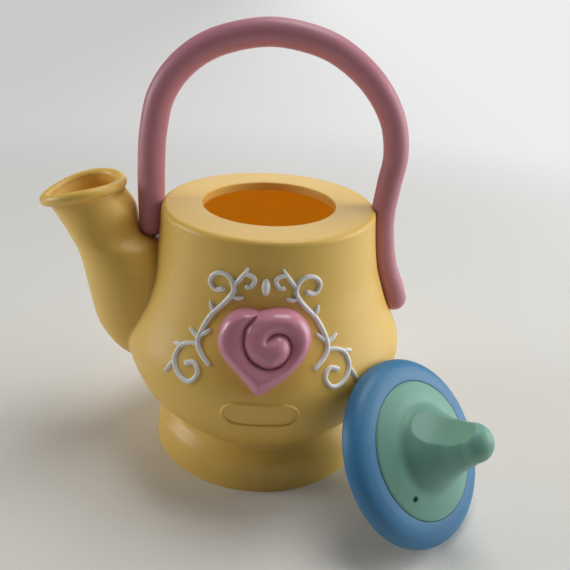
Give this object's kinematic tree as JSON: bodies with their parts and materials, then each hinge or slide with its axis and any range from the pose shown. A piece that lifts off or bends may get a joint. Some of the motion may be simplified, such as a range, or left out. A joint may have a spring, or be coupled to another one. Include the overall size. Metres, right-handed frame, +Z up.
{
  "type": "toy teapot",
  "caption": "Round-bellied plastic play teapot with a fixed arch handle, open spout, heart and scroll relief, and a loose lid that leans on its belly.",
  "frame": {"origin": "middle of the foot ring, on the surface that the pot stands on", "axes": "+Z up through the opening, spout towards -X, front with the heart towards -Y; the shells part on the plane y = 0"},
  "size_m": [0.2015, 0.1601, 0.1996],
  "materials": {
    "yellow_shell": "butter-yellow moulded plastic with a soft sheen",
    "pink_handle": "dusty pink moulded plastic",
    "pink_heart": "glossy rose pink",
    "white_relief": "white painted relief",
    "blue_lid": "mid-blue moulded plastic with a soft sheen",
    "green_knob": "sage green moulded plastic",
    "screw_steel": "zinc-plated steel"
  },
  "bodies": {
    "pot": {"front_shell": "yellow_shell", "rear_shell": "yellow_shell", "handle": "pink_handle", "heart": "pink_heart", "scroll_left": "white_relief", "scroll_right": "white_relief", "scroll_drop": "white_relief", "shell_screws": "screw_steel"},
    "lid": {"lid_disc": "blue_lid", "lid_knob": "green_knob", "lid_screw": "screw_steel"}
  },
  "joints": [
    {"name": "lid_lift", "type": "slide", "parent": "pot", "child": "lid", "axis": [0, 0, 1], "range_m": [0, 0.205]}
  ]
}
